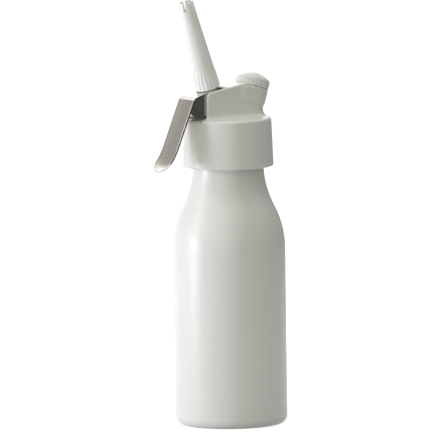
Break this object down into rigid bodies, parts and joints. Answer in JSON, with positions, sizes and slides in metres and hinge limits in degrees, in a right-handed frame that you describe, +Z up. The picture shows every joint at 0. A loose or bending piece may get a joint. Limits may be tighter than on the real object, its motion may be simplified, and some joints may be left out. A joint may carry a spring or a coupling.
{
  "type": "whipped cream dispenser",
  "caption": "Bottle-shaped whipped cream dispenser: screw-on head with a squeeze lever, a long decorator nozzle and a capped gas charger port.",
  "frame": {"origin": "on the bottle's axis, in the plane of the ring that it stands on", "axes": "+Z up along the bottle; the lever and the nozzle lean to -X, the charger port leans to +X, and Y runs across the plane of symmetry"},
  "size_m": [0.1025, 0.08, 0.3064],
  "materials": {
    "lacquer": "gloss white lacquer over drawn aluminium",
    "head_plastic": "satin",
    "nozzle_plastic": "satin",
    "cap_plastic": "satin",
    "lever_steel": "brushed stainless steel",
    "turned_steel": "turned stainless steel",
    "spring_steel": "drawn wire",
    "core_metal": "die cast",
    "silicone": "matte"
  },
  "bodies": {
    "bottle": {"bottle": "lacquer"},
    "gasket": {"head_gasket": "silicone"},
    "head": {"head_shell": "head_plastic", "head_core": "core_metal", "valve_guide": "turned_steel", "stem_o_ring": "silicone", "valve_spring": "spring_steel", "lever_pin": "turned_steel", "pin_plug": "head_plastic", "port_sleeve": "turned_steel", "port_nut": "turned_steel", "pin_holder": "turned_steel", "piercing_pin": "turned_steel", "port_gasket": "silicone", "check_spring": "spring_steel"},
    "lever": {"lever": "lever_steel"},
    "valve": {"valve_stem": "turned_steel", "valve_seal": "silicone", "tip_adapter": "turned_steel"},
    "nozzle_ring": {"nozzle_seal": "silicone"},
    "nozzle": {"nozzle": "nozzle_plastic"},
    "liner": {"cap_liner": "silicone"},
    "cap": {"port_cap": "cap_plastic"},
    "check": {"check_disc": "turned_steel"}
  },
  "joints": [
    {"name": "head_lift", "type": "slide", "parent": "bottle", "child": "gasket", "axis": [0, 0, 1], "range_m": [0, 0.0101]},
    {"name": "head_unscrew", "type": "hinge", "parent": "gasket", "child": "head", "pos_m": [0, 0, 0.2115], "axis": [0, 0, 1], "range_deg": [0, 900]},
    {"name": "lever_squeeze", "type": "hinge", "parent": "head", "child": "lever", "pos_m": [0.00203, 0, 0.23602], "axis": [0, -1, 0], "range_deg": [0, 9], "stiffness_Nm_per_rad": 3, "springref_deg": -8.59},
    {"name": "valve_slide", "type": "slide", "parent": "head", "child": "valve", "axis": [0.2823, 0, -0.9593], "range_m": [0, 0.00265], "deforming": ["valve_spring"]},
    {"name": "nozzle_lift", "type": "slide", "parent": "valve", "child": "nozzle_ring", "axis": [-0.2823, 0, 0.9593], "range_m": [0, 0.0081]},
    {"name": "nozzle_unscrew", "type": "hinge", "parent": "nozzle_ring", "child": "nozzle", "pos_m": [-0.01677, 0, 0.24216], "axis": [-0.2823, 0, 0.9593], "range_deg": [0, 1440]},
    {"name": "cap_lift", "type": "slide", "parent": "head", "child": "liner", "axis": [0.3007, 0, 0.9537], "range_m": [0, 0.0061]},
    {"name": "cap_unscrew", "type": "hinge", "parent": "liner", "child": "cap", "pos_m": [0.02135, 0, 0.24079], "axis": [0.3007, 0, 0.9537], "range_deg": [0, 1080]},
    {"name": "check_slide", "type": "slide", "parent": "head", "child": "check", "axis": [-0.3007, 0, -0.9537], "range_m": [0, 0.0008], "stiffness_N_per_m": 200, "springref_m": -0.001, "deforming": ["check_spring"]}
  ],
  "couplings": [
    {"joint": "head_lift", "follows": "head_unscrew", "m_per_rad": 0.00063662},
    {"joint": "valve_slide", "follows": "lever_squeeze", "m_per_rad": 0.0167},
    {"joint": "nozzle_lift", "follows": "nozzle_unscrew", "m_per_rad": 0.00031831},
    {"joint": "cap_lift", "follows": "cap_unscrew", "m_per_rad": 0.00031831}
  ]
}
